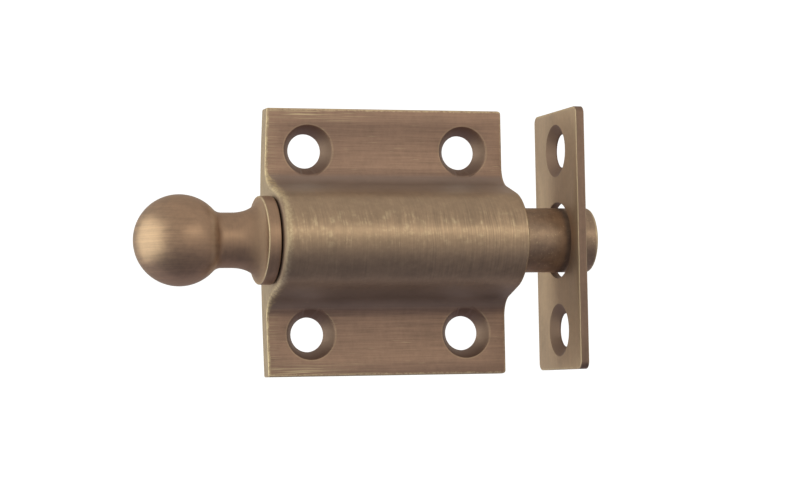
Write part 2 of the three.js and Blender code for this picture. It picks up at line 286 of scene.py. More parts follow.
def piece(name, bm, smooth_below=SMOOTH_BELOW):
    """An object from a bmesh, smooth where its faces meet at less than an angle."""
    mesh = bpy.data.meshes.new(name)
    for face in bm.faces:
        face.smooth = True
    for edge in bm.edges:
        edge.smooth = edge.is_manifold and edge.calc_face_angle(0) < smooth_below
    bm.to_mesh(mesh)
    bm.free()
    made = bpy.data.objects.new(name, mesh)
    bpy.context.scene.collection.objects.link(made)
    return made


def apply_modifiers(made):
    """Makes the object's modifiers part of its mesh."""
    depsgraph = bpy.context.evaluated_depsgraph_get()
    mesh = bpy.data.meshes.new_from_object(made.evaluated_get(depsgraph))
    made.modifiers.clear()
    bm = bmesh.new()
    bm.from_mesh(mesh)
    bmesh.ops.remove_doubles(bm, verts=bm.verts, dist=0.0005 * MM)
    for edge in bm.edges:
        edge.smooth = edge.is_manifold and edge.calc_face_angle(0) < SMOOTH_BELOW
    for face in bm.faces:
        face.smooth = True
    bm.to_mesh(mesh)
    bm.free()
    old = made.data
    made.data = mesh
    bpy.data.meshes.remove(old)


def round_edges(made, width, segments):
    """Rounds every sharp edge and evens the shading of the flat faces."""
    rounding = made.modifiers.new("rounding", "BEVEL")
    rounding.limit_method = "ANGLE"
    rounding.angle_limit = SHARP_ABOVE
    rounding.width = width
    rounding.segments = segments
    shading = made.modifiers.new("weighted_normals", "WEIGHTED_NORMAL")
    shading.keep_sharp = True
    shading.weight = 100
    apply_modifiers(made)


def cut(made, tools):
    """Cuts the tools' shapes out of the object and deletes the tools."""
    for tool in tools:
        modifier = made.modifiers.new("cut", "BOOLEAN")
        modifier.operation = "DIFFERENCE"
        modifier.solver = "EXACT"
        modifier.object = tool
    apply_modifiers(made)
    for tool in tools:
        bpy.data.objects.remove(tool)


def countersink(centre, outward, hole, sink, land, thickness):
    """A tool for a countersunk hole whose mouth is at centre and opens along outward."""
    cone = thickness - land
    slope = (sink - hole) / cone
    section = [(hole, 0, -thickness - OVERCUT), (hole, 0, -cone), (sink + slope * OVERCUT, 0, OVERCUT)]
    bm = spun(section, (0, 0, 0), (0, 0, 1), BORE_SIDES)
    bmesh.ops.holes_fill(bm, edges=bm.edges, sides=0)
    bmesh.ops.recalc_face_normals(bm, faces=bm.faces)
    facing = Vector((0, 0, 1)).rotation_difference(Vector(outward)).to_matrix().to_4x4()
    bmesh.ops.transform(bm, matrix=Matrix.Translation(centre) @ facing, verts=bm.verts)
    return piece("countersink", bm)


def through_hole(low_x, high_x, radius):
    """A tool for a plain hole along the bolt's axis."""
    start = low_x - OVERCUT
    end = high_x + OVERCUT
    return piece("bore", turned([(start, 0), (start, radius), (end, radius), (end, 0)]))


def finished(made, body, nodes, material):
    """Fits the piece to its body, the CAD nodes it stands for and its finish."""
    made.data.materials.clear()
    made.data.materials.append(material)
    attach(made, body)
    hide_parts(*nodes)
    return made


# ------------------------------------------------------------------ shader arithmetic


class Wire:
    """One output of a node. Arithmetic on it adds Math nodes to its material."""

    def __init__(self, bench, socket):
        self.bench = bench
        self.socket = socket

    def math(self, operation, *values):
        return self.bench.node("ShaderNodeMath", {"operation": operation}, values)

    def __add__(self, other):
        return self.math("ADD", self, other)

    def __radd__(self, other):
        return self.math("ADD", other, self)

    def __sub__(self, other):
        return self.math("SUBTRACT", self, other)

    def __rsub__(self, other):
        return self.math("SUBTRACT", other, self)

    def __mul__(self, other):
        return self.math("MULTIPLY", self, other)

    def __rmul__(self, other):
        return self.math("MULTIPLY", other, self)

    def __truediv__(self, other):
        return self.math("DIVIDE", self, other)

    def __pow__(self, other):
        return self.math("POWER", self, other)

    def __abs__(self):
        return self.math("ABSOLUTE", self)

    def least(self, other):
        return self.math("MINIMUM", self, other)

    def most(self, other):
        return self.math("MAXIMUM", self, other)

    def rising(self, low, high):
        """0 below low and 1 above high, smooth between them. With high under low it falls instead."""
        inputs = {"Value": self, "From Min": low, "From Max": high}
        return self.bench.node("ShaderNodeMapRange", {"interpolation_type": "SMOOTHSTEP"}, inputs)


class Bench:
    """The nodes of one material or world."""

    def __init__(self, tree):
        self.tree = tree
        tree.nodes.clear()

    def node(self, kind, choices=None, inputs=(), output=0):
        """Adds a node, sets its choices, then sets or links its inputs, and gives back one output."""
        made = self.tree.nodes.new(kind)
        for name, value in (choices or {}).items():
            setattr(made, name, value)
        pairs = inputs.items() if isinstance(inputs, dict) else enumerate(inputs)
        for name, value in pairs:
            if isinstance(value, Wire):
                self.tree.links.new(value.socket, made.inputs[name])
            else:
                made.inputs[name].default_value = value
        return Wire(self, made.outputs[output]) if made.outputs else made

    def split(self, vector):
        """A vector's x, y and z."""
        parts = self.node("ShaderNodeSeparateXYZ", inputs=[vector])
        return [Wire(self, socket) for socket in parts.socket.node.outputs]

    def place(self):
        """The object's own x, y and z, in millimetres."""
        where = self.node("ShaderNodeTexCoord", output="Object")
        return self.split(self.scaled(where, 1 / MM))

    def facing(self):
        """The surface's x, y and z direction."""
        return self.split(self.node("ShaderNodeTexCoord", output="Normal"))

    def grain(self, x, y, z, detail=2.0, roughness=0.55):
        """Noise from 0 to 1, about half in the middle, at three coordinates that are already scaled."""
        vector = self.node("ShaderNodeCombineXYZ", inputs=[x, y, z])
        inputs = {"Vector": vector, "Scale": 1.0, "Detail": detail, "Roughness": roughness}
        return self.node("ShaderNodeTexNoise", inputs=inputs)

    def mix(self, amount, first, second):
        """A colour between two, from all of the first at 0 to all of the second at 1."""
        inputs = {0: amount, 6: opaque(first), 7: opaque(second)}
        choices = {"data_type": "RGBA", "clamp_factor": True}
        return self.node("ShaderNodeMix", choices, inputs, output=2)

    def scaled(self, base, amount):
        """A colour or vector times a factor."""
        choices = {"operation": "SCALE"}
        return self.node("ShaderNodeVectorMath", choices, {0: plain(base), "Scale": amount})


def opaque(value):
    return value if isinstance(value, Wire) else (*value, 1.0)


def plain(value):
    return value if isinstance(value, Wire) else tuple(value)


def metal(name, build, coat=0.9, coat_roughness=0.66):
    """A lacquered metal. build gives its colour, roughness, height and how much of the height shows."""
    material = bpy.data.materials.new(name)
    material.use_nodes = True
    bench = Bench(material.node_tree)
    base, rough, height, relief = build(bench)
    bump = bench.node("ShaderNodeBump", inputs={"Strength": relief, "Distance": 0.02 * MM, "Height": height})
    inputs = {
        "Base Color": base,
        "Metallic": 1.0,
        "Roughness": rough,
        "Coat Weight": coat,
        "Coat Roughness": coat_roughness,
        "Coat IOR": 1.45,
        "Specular Tint": opaque(settings("finish").edge_tint),
        "Normal": bump,
    }
    surface = bench.node("ShaderNodeBsdfPrincipled", inputs=inputs)
    bench.node("ShaderNodeOutputMaterial", inputs=[surface])
    return material


# ------------------------------------------------------------------ finishes


def around(y, z):
    """The angle round the bolt's axis, 0 in front and positive upwards, and the distance from it in mm."""
    forward = AXIS.y / MM - y
    upward = z - AXIS.z / MM
    angle = upward.math("ARCTAN2", upward, forward)
    reach = (forward * forward + upward * upward) ** 0.5
    return angle, reach


def housing_finish():
    housing = settings("housing")
    finish = settings("finish")

    def build(bench):
        x, y, z = bench.place()
        nx, _, _ = bench.facing()
        angle, from_axis = around(y, z)
        low, high = HOUSING[0] / MM, HOUSING[1] / MM
        height = abs(z)
        girth = angle * (housing.barrel / MM)

        # brushed along X on the flanges and in short strokes round the barrel
        flange_lines = bench.grain(x * 0.09, y * 0.4, z * 3.2, 3.0, 0.6)
        fine_lines = bench.grain(x * 0.22 + 40, y * 0.4, z * 10.0, 2.0, 0.6)
        wander = bench.grain(x * 0.12, girth * 0.14, 20.0) - 0.5
        slanted = x + girth * 0.03 + wander * 0.9
        strokes = bench.grain(slanted * 5.2, girth * 0.16, 9.0, 2.0, 0.6)
        broad = bench.grain(slanted * 1.5, girth * 0.28, 3.0, 3.0, 0.6)
        dents = bench.grain(x * 0.8, girth * 0.7, 31.0, 2.0, 0.5)
        busy = bench.grain(x * 0.22, girth * 0.3, 50.0, 2.0, 0.5).rising(0.3, 0.7) * 0.8
        busy = busy + 0.25 + x.rising(-4.0, 12.0) * 0.9
        raised = y.rising(high.y - 0.05, high.y - 0.3)
        on_barrel = height.rising(8.5, 7.1) * raised
        in_fillet = height.rising(9.1, 8.3) * height.rising(5.4, 7.2) * raised
        flange_side = (flange_lines - 0.5) * 0.65 + (fine_lines - 0.5) * 0.5
        barrel_side = (strokes - 0.5) * busy * 0.75 + (broad - 0.5) * 0.5
        lines = flange_side + (barrel_side - flange_side) * on_barrel
        lines = lines * (1 - in_fillet * 0.8)

        # patina with slow blotches, painted shade on the lower flange and a painted highlight band on the
        # barrel
        blotches = bench.grain(x * 0.16, y * 0.2, z * 0.22 + 7, 3.0, 0.6)
        mottle = bench.grain(x * 1.3, girth * 1.1, z * 0.9, 3.0, 0.65)
        # painted highlight: the band just above the barrel's front, where the long front light falls, gets
        # stronger streaks and more worn gold in its colour; the gold there is partly real wear on the crest
        from_crest = girth - 1.2
        lit = (from_crest * from_crest).rising(9.0, 1.0)
        brushed = finish.brushing * 3.6
        strength = brushed * (1 - on_barrel * 0.62) + on_barrel * lit * 0.5
        tone = 1.0 + lines * strength + (blotches - 0.5) * 0.35 + (mottle - 0.5) * 0.35
        # painted shade: the lower flange a little darker, where the barrel keeps off the light from above
        tone = tone - z.rising(-3.0, -9.0) * 0.07
        base = bench.mix(on_barrel, finish.patina, finish.barrel)
        base = bench.scaled(base, tone)
        rubbed = (strokes * 0.35 + mottle * 0.3 + dents * 0.35).rising(0.50, 0.66)
        wear_and_highlight = lit * 0.5 + 0.1
        base = bench.mix(rubbed * wear_and_highlight * on_barrel, base, finish.worn)
        base = bench.mix(in_fillet * 0.8, base, bench.scaled(finish.dull, 1.0 + (blotches - 0.5) * 0.5))

        # countersinks and their rims
        hole_x = (high.x - low.x - housing.crown / MM) / 2 - housing.hole_end / MM
        hole_z = high.z - housing.hole_edge / MM
        off_x = abs(x) - hole_x
        off_z = height - hole_z
        reach = (off_x * off_x + off_z * off_z) ** 0.5
        in_sink = reach.rising(housing.sink / MM + 0.02, housing.sink / MM - 0.16) * raised
        base = bench.mix(in_sink * 0.9, base, finish.shade)

        # olive cut ends, with file marks down them
        square = (z * z) / (high.z * high.z)
        upper_half = z.rising(-0.01, 0.01)
        bow = (upper_half * (housing.crown - housing.crown_below) / MM + housing.crown_below / MM) * square
        from_left = x - (low.x + bow)
        from_right = high.x - x
        end_face = abs(nx).rising(0.8, 0.97) * from_left.least(from_right).rising(0.9, 0.6)
        cut_grain = bench.grain(x * 3, y * 5.0, z * 0.5, 3.0, 0.65)
        cut_colour = bench.scaled(finish.cut, 1.0 + (cut_grain - 0.5) * 0.9)
        base = bench.mix(end_face, base, cut_colour)

        # pale gold where edges have worn
        speckle = bench.grain(x * 2.8, y * 2.8, z * 2.8, 3.0, 0.7) - 0.5
        from_top = high.z - height
        on_hump = height.rising(9.4, 7.6)
        left_width = 0.3 + on_hump * (0.5 + z.rising(-4.0, 6.0) * 0.25)
        left_soft = 0.1 + on_hump * 0.34
        ragged_left = from_left + speckle * (0.5 + on_hump * 0.7)
        left_wear = ragged_left.rising(left_width + left_soft, left_width - left_soft)
        patchy = bench.grain(x * 2.2 + 5, y * 2.2, z * 2.2, 2.0, 0.6).rising(0.4, 0.58)
        left_wear = left_wear * (0.42 + patchy * 0.5)
        right_wear = (from_right + speckle * 0.5).rising(0.3, 0.04)
        top_wear = (from_top + speckle * 0.7).rising(0.34, 0.1)
        wear = left_wear.most(right_wear * 0.6).most(top_wear * 0.75)
        off_barrel = 1 - on_barrel
        scratch = bench.grain(x * 0.12 + 11, 5.0, z * 8.0, 2.0, 0.6).rising(0.51, 0.60)
        near_corner = from_top.rising(2.4, 0.2) * x.rising(2.0, -11.0)
        near_left = from_left.rising(2.2, 0.2) * 0.4
        scratches = scratch * near_corner.most(near_left) * off_barrel * 0.9
        stray = bench.grain(x * 0.3 + 90, 2.0, z * 7.0, 2.0, 0.5).rising(0.66, 0.76) * off_barrel * 0.4
        barrel_radius = housing.barrel / MM
        # darker brown, with less worn gold, on the barrel's end where it faces the collar
        by_collar = from_axis.rising(barrel_radius + 0.6, barrel_radius + 0.05) * x.rising(0.0, -1.0)
        by_collar = by_collar * abs(nx).rising(0.3, 0.72) * height.rising(6.2, 4.4)
        gold = wear.most(scratches).most(stray) * (1 - end_face) * (1 - in_sink) * (1 - by_collar * 0.8)
        base = bench.mix(by_collar * 0.85, base, finish.shade)
        base = bench.mix(gold, base, finish.worn)
        rim_line = reach.rising(housing.sink / MM - 0.04, housing.sink / MM + 0.06)
        rim_line = rim_line * reach.rising(housing.sink / MM + 0.24, housing.sink / MM + 0.08)
        base = bench.mix(rim_line * raised * 0.16 * height.rising(9.0, 9.4), base, finish.worn)

        round_side = height.rising(6.4, 4.8)
        rough = 0.5 - round_side * 0.12 + lines * 0.25 + (blotches - 0.5) * 0.12 + left_wear * 0.08
        rough = rough + in_sink * 0.1 + in_fillet * 0.14 + by_collar * 0.15
        worked = lines + (dents - 0.5) * on_barrel * 2.2
        relief_height = worked * (1 - end_face) + end_face * (cut_grain - 0.5)
        return base, rough, relief_height, finish.relief

    return metal("aged_brass", build)


def knob_finish():
    knob = settings("knob")
    finish = settings("finish")

    def build(bench):
        x, y, z = bench.place()
        angle, reach = around(y, z)
        across = angle.math("COSINE", angle)
        up = angle.math("SINE", angle)
        collar_x = (KNOB[1].x + knob.closer) / MM
        lip_x = collar_x - knob.collar / MM
        neck_end = lip_x - (knob.flare + knob.neck) / MM

        ball_lines = bench.grain(x * 0.16, 3.0, z * 2.6, 3.0, 0.6)
        ball_fine = bench.grain(x * 0.34, 8.0, z * 7.0, 2.0, 0.6)
        turned_lines = bench.grain(x * 4.0, across * 0.9, up * 0.9, 3.0, 0.6)
        on_ball = x.rising(neck_end - 0.4, neck_end - 1.8)
        towards_tip = x.rising(neck_end - 4.0, neck_end - 9.0) * 0.8 + 0.5
        ball_side = ((ball_lines - 0.5) * 0.8 + (ball_fine - 0.5) * 0.55) * towards_tip
        turned_side = (turned_lines - 0.5) * 0.38
        lines = turned_side + (ball_side - turned_side) * on_ball
        blotches = bench.grain(x * 0.3, y * 0.3, z * 0.3, 3.0, 0.6)
        mottle = bench.grain(x * 1.6, y * 1.6, z * 1.6, 3.0, 0.7)
        tone = 1.0 + lines * (finish.brushing * 2.6) + (blotches - 0.5) * 0.3 + (mottle - 0.5) * 0.4
        flare_start = lip_x - knob.flare / MM
        in_flare = x.rising(flare_start + 0.8, lip_x - 0.9) * x.rising(lip_x + 0.05, lip_x - 0.05)
        # painted light: the groove between the neck and the ball is coloured lighter and more olive, against
        # its shade
        groove_painted_light = x.rising(neck_end - 2.6, neck_end - 1.9) * x.rising(neck_end - 0.8, neck_end - 1.4)
        base = bench.mix(groove_painted_light * 0.7, finish.ball, finish.cut)
        # the flare a little darker in colour: partly thicker patina in the hollow, partly painted shade that
        # dims its sheen
        base = bench.scaled(base, tone * (1 - in_flare * 0.08 + groove_painted_light * 0.25))

        ragged = (mottle - 0.5) * 0.16
        collar_radius = knob.collar_radius / MM
        outer = reach.rising(collar_radius - 0.3, collar_radius - 0.12)
        at_lip = (abs(x - lip_x - 0.06) + ragged).rising(0.1, 0.02)
        at_face = (abs(x - collar_x) + ragged).rising(0.2, 0.04)
        gold = outer * (at_lip * 0.75).most(at_face * 0.4)
        base = bench.mix(gold, base, finish.worn)
        rough = 0.4 + lines * 0.3 + (blotches - 0.5) * 0.12 + (mottle - 0.5) * 0.15
        rough = rough + in_flare * 0.22 + (1 - on_ball) * 0.05
        return base, rough, lines + (mottle - 0.5) * 0.5, finish.relief * 0.9

    return metal("knob_brass", build)


def bolt_finish():
    finish = settings("finish")

    def build(bench):
        x, y, z = bench.place()
        nx, _, _ = bench.facing()
        angle, reach = around(y, z)
        across = angle.math("COSINE", angle)
        up = angle.math("SINE", angle)
        turned_lines = bench.grain(x * 5.0, across * 1.2, up * 1.2, 3.0, 0.6) - 0.5
        mottle = bench.grain(x * 0.9, y * 0.9, z * 0.9, 4.0, 0.65) - 0.5
        tone = 0.95 + mottle * 0.9 + turned_lines * 0.35
        base = bench.scaled(finish.bolt, tone)
        flecks = bench.grain(x * 3.0, y * 3.0, z * 3.0, 2.0, 0.6).rising(0.60, 0.72)
        tip_x = BOLT[1].x / MM
        rim = (abs(x - tip_x) + mottle * 0.4).rising(0.45, 0.15) * reach.rising(3.5, 4.0)
        gold = (flecks * 0.4).most(rim * 0.8)
        base = bench.mix(gold, base, finish.worn)
        end_face = nx.rising(0.8, 0.95)
        base = bench.mix(end_face * 0.6, base, finish.cut)
        rough = 0.44 + mottle * 0.2 - gold * 0.06
        return base, rough, mottle * 0.8 + turned_lines * 0.4, finish.relief

    return metal("bolt_brass", build)


def strike_finish():
    strike = settings("strike")
    finish = settings("finish")

    def build(bench):
        x, y, z = bench.place()
        nx, _, _ = bench.facing()
        low, high = STRIKE[0] / MM, STRIKE[1] / MM
        across = y - AXIS.y / MM
        height = abs(z)
        brushed = bench.grain(x * 2, y * 3.4, z * 0.09, 3.0, 0.6) - 0.5
        fine = bench.grain(x * 3, y * 10.0, z * 0.2, 2.0, 0.6) - 0.5
        lines = brushed * 0.6 + fine * 0.4
        blotches = bench.grain(x, y * 0.3, z * 0.16, 3.0, 0.6) - 0.5
        mottle = bench.grain(x * 1.2, y * 1.2, z * 1.2, 3.0, 0.65) - 0.5
        flat_face = abs(nx).rising(0.75, 0.95)
        tone = 0.72 + flat_face * 0.28 + lines * (finish.brushing * 1.8) + blotches * 0.4 + mottle * 0.3
        base = bench.mix(flat_face, finish.patina, finish.strike)
        base = bench.scaled(base, tone)

        off = height - strike.spacing / MM / 2
        reach = (across * across + off * off) ** 0.5
        in_sink = reach.rising(strike.sink / MM + 0.2, strike.sink / MM + 0.04)
        middle = (across * across + z * z) ** 0.5
        in_hole = middle.rising(strike.bolt_hole / MM + 0.02, strike.bolt_hole / MM - 0.05)
        inside = in_sink.most(in_hole) * (1 - flat_face)
        base = bench.mix(inside * 0.85, base, finish.shade)

        from_side = ((high.y - low.y) / 2 - abs(across)).least(high.z - height)
        worn = (from_side + mottle * 0.7).rising(0.36, 0.1) * flat_face * 0.42
        from_face = (x - low.x).least(high.x - x)
        corner = (from_face + mottle * 0.2).rising(0.14, 0.04) * (1 - flat_face)
        gold = worn.most(corner * 0.4) * (1 - inside)
        base = bench.mix(gold, base, finish.worn)
        rough = 0.5 + lines * 0.2 + blotches * 0.15 + inside * 0.12
        return base, rough, lines + mottle * 0.4, finish.relief * 0.8

    return metal("strike_brass", build)


def turned_finish(name, base_colour, roughness):
    """Plain turned metal with fine rings round the bolt's axis."""
    finish = settings("finish")

    def build(bench):
        x, y, z = bench.place()
        _, reach = around(y, z)
        rings = bench.grain(x * 9, reach * 9, 1.0, 3.0, 0.6)
        haze = bench.grain(x * 0.6, y * 0.6, z * 0.6, 3.0, 0.6)
        base = bench.scaled(base_colour, 0.86 + (rings - 0.5) * 0.4 + (haze - 0.5) * 0.4)
        rough = roughness + (rings - 0.5) * 0.15 + (haze - 0.5) * 0.15
        return base, rough, rings, finish.relief * 0.8

    return metal(name, build)


# ------------------------------------------------------------------ housing


def housing_section():
    """The housing's outline across the bolt, as (y, z), from the top of the back round the front."""
    housing = settings("housing")
    top = HOUSING[1].z
    back = HOUSING[1].y
    face = back - housing.flange
    fillet_y = face - housing.fillet
    reach = housing.barrel + housing.fillet + (fillet_y - AXIS.y) * math.sin(housing.slope)
    fillet_z = reach / math.cos(housing.slope)
    upper = [
        (back, top),
        (face, top),
        *arc((fillet_y, fillet_z), housing.fillet, FULL_TURN, 3 * QUARTER + housing.slope, 14),
        *arc((AXIS.y, 0), housing.barrel, QUARTER + housing.slope, math.pi, 32)[:-1],
    ]
    lower = [(y, -z) for y, z in reversed(upper)]
    return upper + [(AXIS.y - housing.barrel, 0)] + lower


def bow_knob_end(bm):
    """Divides the bar across its height and bows its knob end outwards."""
    housing = settings("housing")
    top = HOUSING[1].z
    heights = [top * i / 12 for i in range(-11, 12)]
    for height in heights:
        geometry = bm.verts[:] + bm.edges[:] + bm.faces[:]
        bmesh.ops.bisect_plane(bm, geom=geometry, dist=0.01 * MM, plane_co=(0, 0, height), plane_no=(0, 0, 1))
    for vert in bm.verts:
        if vert.co.x < 0:
            crown = housing.crown if vert.co.z > 0 else housing.crown_below
            vert.co.x = HOUSING[0].x + crown * (vert.co.z / top) ** 2
    bmesh.ops.remove_doubles(bm, verts=bm.verts, dist=0.08 * MM)


def weigh_edges(bm):
    """Marks how widely each outer edge has worn round, for the bevel to read."""
    housing = settings("housing")
    weights = bm.edges.layers.float.new("bevel_weight_edge")
    hump = housing.barrel + housing.fillet
    flat = housing.edge / housing.rim
    for edge in bm.edges:
        if edge.calc_face_angle(0) < math.radians(50):
            continue
        start, end = (vert.co for vert in edge.verts)
        middle = (start + end) / 2
        at_back = all(abs(point.y - HOUSING[1].y) < 0.01 * MM for point in (start, end))
        at_knob = middle.x < 0 and abs(start.x - end.x) < 1 * MM
        at_corner = middle.x > 0 and abs(start.y - end.y) > 1 * MM and abs(middle.z) > hump
        if at_back:
            edge[weights] = BACK_WEAR
        elif at_corner:
            edge[weights] = housing.corner / housing.rim
        elif at_knob:
            # widest round the barrel, and narrowing over the fillets to the flanges' own rounding
            widening = (1.05 * hump - abs(middle.z)) / (0.35 * hump)
            edge[weights] = flat + (1 - flat) * min(1, max(0, widening))
        else:
            edge[weights] = flat


def make_housing():
    housing = settings("housing")
    low, high = HOUSING
    start = low.x + housing.crown
    outline = [(start, y, z) for y, z in housing_section()]
    bm = extruded(outline, (high.x - start, 0, 0))
    bow_knob_end(bm)
    weigh_edges(bm)
    made = piece("housing_body", bm)
    rounding = made.modifiers.new("worn_edges", "BEVEL")
    rounding.limit_method = "WEIGHT"
    rounding.width = housing.rim
    rounding.segments = 4
    # clamping narrows the rounding everywhere, and sliding pulls spikes out of the knob end
    rounding.use_clamp_overlap = False
    rounding.loop_slide = False
    apply_modifiers(made)

    half_length = (high.x - start) / 2
    tools = [through_hole(low.x, high.x, housing.bore)]
    face = high.y - housing.flange
    for side in (-1, 1):
        for level in (-1, 1):
            centre = (side * (half_length - housing.hole_end), face, level * (high.z - housing.hole_edge))
            sizes = (housing.hole, housing.sink, housing.land, housing.flange)
            tools.append(countersink(centre, (0, -1, 0), *sizes))
    cut(made, tools)
    round_edges(made, HOLE_ROUNDING, 2)
    return finished(made, "housing", ["housing"], housing_finish())


# ------------------------------------------------------------------ turned pieces


def knob_section():
    """The knob's outline as (x, radius), from the bottom of its socket round the collar to the ball's end."""
    knob = settings("knob")
    face = KNOB[1].x + knob.closer
    edge = knob.collar_edge
    lip = knob.collar_radius - edge
    lip_x = face - knob.collar
    neck_x = lip_x - knob.flare
    ball_start = neck_x - knob.neck
    bend = knob.neck_radius + knob.fillet
    ball_x = ball_start - math.sqrt((knob.ball + knob.fillet) ** 2 - bend**2)
    lean = math.atan2(bend, ball_start - ball_x)
    flare = [
        (neck_x + knob.flare * math.cos(a), lip - (lip - knob.neck_radius) * math.sin(a))
        for a in (QUARTER * i / 20 for i in range(21))
    ]
    socket_end = SPINDLE[0].x - SOCKET_GAP
    return [
        (socket_end, 0),
        (socket_end, knob.socket),
        (face, knob.socket),
        *arc((face - edge, lip), edge, 0, QUARTER, 4),
        *arc((lip_x + edge, lip), edge, QUARTER, math.pi, 4)[:-1],
        *flare,
        *arc((ball_start, bend), knob.fillet, -QUARTER, lean - math.pi, 10),
        *arc((ball_x, 0), knob.ball, lean, math.pi, 48)[1:-1],
        (ball_x - knob.ball, 0),
    ]


def make_knob():
    made = piece("ball_knob", turned(knob_section(), 128))
    return finished(made, "bolt", ["knob"], knob_finish())


def make_bolt():
    knob = settings("knob")
    low, high = BOLT
    radius = (high.z - low.z) / 2
    socket_end = SPINDLE[1].x + SOCKET_GAP
    section = [
        (socket_end, 0),
        (socket_end, knob.socket),
        (low.x, knob.socket),
        *arc((low.x + knob.tip_edge, radius - knob.tip_edge), knob.tip_edge, math.pi, QUARTER, 4),
        *arc((high.x - knob.tip_edge, radius - knob.tip_edge), knob.tip_edge, QUARTER, 0, 6),
        (high.x, 0),
    ]
    made = piece("round_bolt", turned(section, 128))
    return finished(made, "bolt", ["bolt"], bolt_finish())


def thread(start, end, radius):
    """Grooves of a screw thread between two places on a rod, as (x, radius)."""
    knob = settings("knob")
    count = int((end - start) / knob.pitch)
    root = radius - knob.thread
    points = []
    for i in range(count):
        x = start + i * knob.pitch
        points += [(x, radius), (x + 0.4 * knob.pitch, root), (x + 0.6 * knob.pitch, root)]
    return points + [(start + count * knob.pitch, radius)]


def make_spindle():
    low, high = SPINDLE
    radius = (high.z - low.z) / 2
    threaded_to = KNOB[1].x - 1.5 * MM
    threaded_from = BOLT[0].x + 1.0 * MM
    section = [
        (low.x, 0),
        (low.x, radius - SPINDLE_CHAMFER),
        *thread(low.x + SPINDLE_CHAMFER, threaded_to, radius),
        *thread(threaded_from, high.x - SPINDLE_CHAMFER, radius),
        (high.x, radius - SPINDLE_CHAMFER),
        (high.x, 0),
    ]
    made = piece("spindle_stem", turned(section, 64))
    material = turned_finish("turned_brass", settings("finish").plain, 0.3)
    return finished(made, "bolt", ["spindle"], material)


def ring_section(box, inner, edge):
    """A ring's closed section with rounded outer corners."""
    low, high = box
    radius = (high.z - low.z) / 2
    return [
        (low.x, inner),
        *arc((low.x + edge, radius - edge), edge, math.pi, QUARTER, 3),
        *arc((high.x - edge, radius - edge), edge, QUARTER, 0, 3),
        (high.x, inner),
    ]


def make_rings():
    knob = settings("knob")
    finish = settings("finish")
    bush = piece("guide_ring", turned(ring_section(BUSH, knob.socket, BUSH_ROUNDING), 64))
    brass = turned_finish("bush_brass", finish.plain, 0.34)
    finished(bush, "housing", ["guide_bush"], brass)
    washer = piece("thrust_washer", turned(ring_section(WASHER, knob.socket, WASHER_ROUNDING), 64))
    steel = turned_finish("washer_steel", finish.steel, 0.3)
    finished(washer, "spring_washer", ["spring_washer"], steel)


def make_spring():
    knob = settings("knob")
    low, high = SPRING
    radius = (high.z - low.z) / 2 - knob.wire
    closed_pitch = 2.07 * knob.wire
    open_length = high.x - low.x - 2 * knob.wire - 2 * closed_pitch
    steps = 40
    bm = bmesh.new()
    flat = Matrix.Rotation(QUARTER, 4, "X")
    place = Matrix.Translation((low.x + knob.wire, AXIS.y, AXIS.z + radius)) @ flat
    made = bmesh.ops.create_circle(bm, cap_ends=True, segments=12, radius=knob.wire, matrix=place)
    geometry = made["verts"] + list({face for vert in made["verts"] for face in vert.link_faces})
    stretches = [(1, closed_pitch), (knob.turns, open_length / knob.turns), (1, closed_pitch)]
    for turns, pitch in stretches:
        wound = bmesh.ops.spin(
            bm,
            geom=geometry,
            cent=(0, AXIS.y, AXIS.z),
            axis=(1, 0, 0),
            dvec=(pitch / steps, 0, 0),
            angle=FULL_TURN * turns,
            steps=steps * turns,
        )
        geometry = wound["geom_last"]
    bmesh.ops.remove_doubles(bm, verts=bm.verts, dist=0.001 * MM)
    bmesh.ops.recalc_face_normals(bm, faces=bm.faces)
    coil = piece("coil_spring", bm, math.radians(60))
    joint = next(j for j in frame["joints"] if j["name"] == "bolt_slide")
    travel = joint["range_m"][1]
    steel = turned_finish("spring_wire", settings("finish").steel, 0.26)
    finished(coil, "housing", ["return_spring"], steel)
    length = high.x - low.x
    (length - travel) / length
    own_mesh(coil)


# ------------------------------------------------------------------ strike plate


def make_strike_plate():
    strike = settings("strike")
    low, high = STRIKE
    corner = strike.corner
    outline = []
    for y, z, start in (
        (high.y - corner, high.z - corner, 0),
        (low.y + corner, high.z - corner, 1),
        (low.y + corner, low.z + corner, 2),
        (high.y - corner, low.z + corner, 3),
    ):
        outline += arc((y, z), corner, start * QUARTER, (start + 1) * QUARTER, 8)
    bm = extruded([(low.x, y, z) for y, z in outline], (high.x - low.x, 0, 0))
    made = piece("strike_body", bm)
    tools = [through_hole(low.x, high.x, strike.bolt_hole)]
    for level in (-1, 1):
        centre = (low.x, AXIS.y, level * strike.spacing / 2)
        tools.append(countersink(centre, (-1, 0, 0), strike.hole, strike.sink, strike.land, high.x - low.x))
    cut(made, tools)
    round_edges(made, strike.edge, 3)
    return finished(made, "strike_plate", ["strike_plate"], strike_finish())


# ------------------------------------------------------------------ stage


def camera_axes(stage):
    """The camera's right, up and forward directions."""
    forward = Vector(
        (
            -math.sin(stage.azimuth) * math.cos(stage.elevation),
            math.cos(stage.azimuth) * math.cos(stage.elevation),
            -math.sin(stage.elevation),
        )
    )
    right = Vector((math.cos(stage.azimuth), math.sin(stage.azimuth), 0))
    up = right.cross(forward)
    lean = Matrix.Rotation(-stage.roll, 3, forward)
    return lean @ right, lean @ up, forward


def make_camera(stage):
    data = bpy.data.cameras.new("camera")
    data.lens = stage.focal
    data.sensor_width = 36
    data.clip_start = 0.01
    data.clip_end = 50
    camera = bpy.data.objects.new("camera", data)
    bpy.context.scene.collection.objects.link(camera)
    right, up, forward = camera_axes(stage)
    facing = Matrix((right, up, -forward)).transposed().to_4x4()
    camera.matrix_world = Matrix.Translation(Vector(stage.aim) - forward * stage.distance) @ facing
    bpy.context.scene.camera = camera


